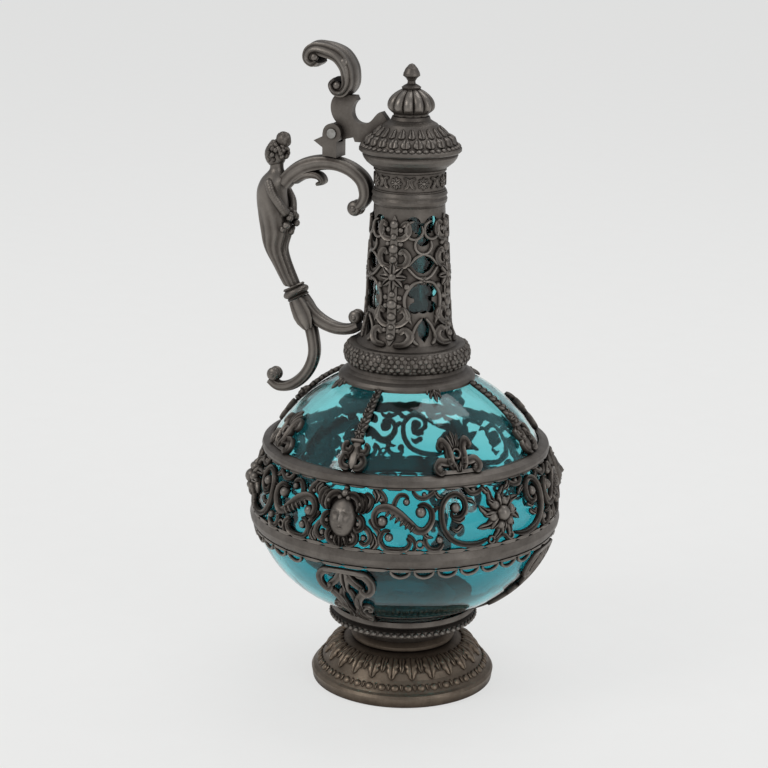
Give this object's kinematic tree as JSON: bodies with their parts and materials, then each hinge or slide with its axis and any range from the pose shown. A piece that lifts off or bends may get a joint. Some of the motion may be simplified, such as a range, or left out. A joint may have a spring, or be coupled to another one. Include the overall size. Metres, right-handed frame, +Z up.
{
  "type": "claret jug",
  "caption": "Tall glass claret jug in pierced cast-metal mounts, with a figured scroll handle and a hinged domed lid opened by a thumb piece.",
  "frame": {"origin": "centre of the foot's resting ring, on the bottle's axis", "axes": "+Z up along the bottle's axis, the handle lies towards -X, and the hinge turns about Y"},
  "size_m": [0.1901, 0.1937, 0.3786],
  "materials": {
    "glass": "clear teal blown glass, smooth and shiny",
    "pewter": "dark patinated pewter, satin, with lighter rubbed edges",
    "plaster": "dull plaster bedding",
    "steel": "plain turned steel, slightly dull"
  },
  "bodies": {
    "jug": {"glass_bottle": "glass", "plaster_bed": "plaster", "foot_base": "pewter", "waist_ring": "pewter", "calyx_cup": "pewter", "foot_bolt": "steel", "foot_washer": "steel", "foot_nut": "steel", "lower_ring": "pewter", "scallop_fringe": "pewter", "upper_ring": "pewter", "belt_panel_1": "pewter", "belt_panel_2": "pewter", "belt_panel_3": "pewter", "mask_boss_1": "pewter", "mask_boss_2": "pewter", "mask_boss_3": "pewter", "fruit_boss_1": "pewter", "fruit_boss_2": "pewter", "fruit_boss_3": "pewter", "shoulder_strap_1": "pewter", "shoulder_strap_2": "pewter", "shoulder_strap_3": "pewter", "shoulder_strap_4": "pewter", "shoulder_crest_1": "pewter", "shoulder_crest_2": "pewter", "shoulder_crest_3": "pewter", "shoulder_crest_4": "pewter", "lower_drop_1": "pewter", "lower_drop_2": "pewter", "lower_drop_3": "pewter", "lower_drop_4": "pewter", "collar_flange": "pewter", "collar_torus": "pewter", "neck_sleeve": "pewter", "neck_ring": "pewter", "neck_band": "pewter", "mouth_bowl": "pewter", "handle_arch": "pewter", "handle_figure": "pewter", "handle_collar": "pewter", "handle_foot": "pewter", "hinge_post": "pewter", "hinge_pin": "steel"},
    "lid": {"lid_cover": "pewter", "lid_arm": "pewter", "thumb_piece": "pewter", "lid_knop": "pewter", "lid_finial": "pewter", "finial_nut": "steel"}
  },
  "joints": [
    {"name": "lid_hinge", "type": "hinge", "parent": "jug", "child": "lid", "pos_m": [-0.0465, 0, 0.3275], "axis": [0, -1, 0], "range_deg": [0, 76]}
  ]
}
